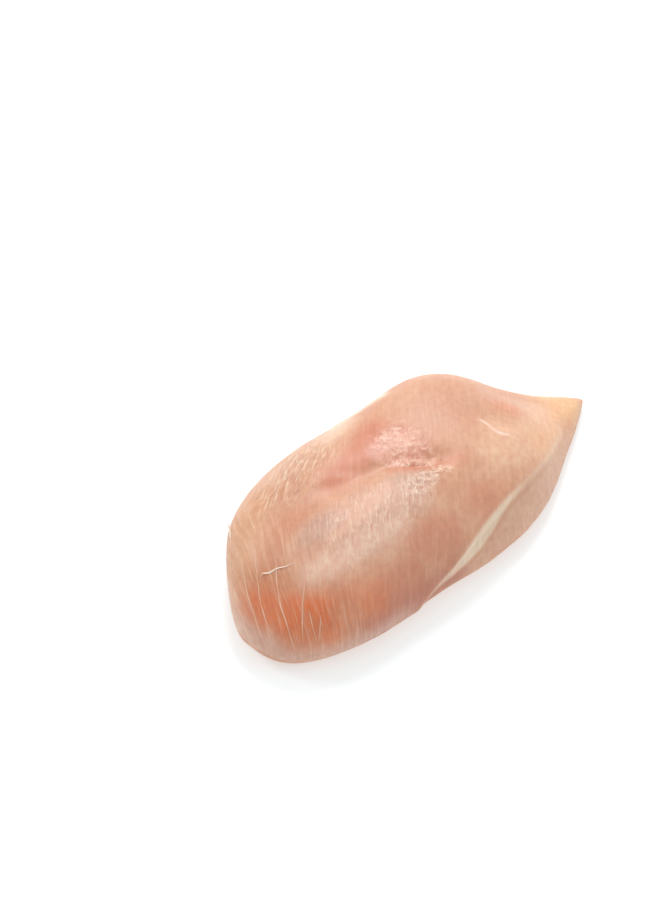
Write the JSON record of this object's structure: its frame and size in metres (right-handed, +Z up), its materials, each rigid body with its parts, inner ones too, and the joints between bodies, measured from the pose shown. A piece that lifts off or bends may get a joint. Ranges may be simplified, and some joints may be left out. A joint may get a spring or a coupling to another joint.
{
  "type": "raw chicken breast",
  "caption": "Raw boneless, skinless chicken breast fillet: a plump pale pink lobe with a blunt end, a thin pointed tip and a white membrane strip along one flank.",
  "frame": {"origin": "bottom centre of the fillet's box, on the flat cut side it lies on", "axes": "+X along the fillet from the blunt shoulder end to the thin tip, +Y across it towards the thick outer rim, +Z up"},
  "size_m": [0.185, 0.085, 0.035],
  "materials": {
    "raw_flesh": "moist raw muscle, satin with wet highlights"
  },
  "bodies": {
    "root": {"chicken_breast": "raw_flesh"}
  },
  "joints": []
}
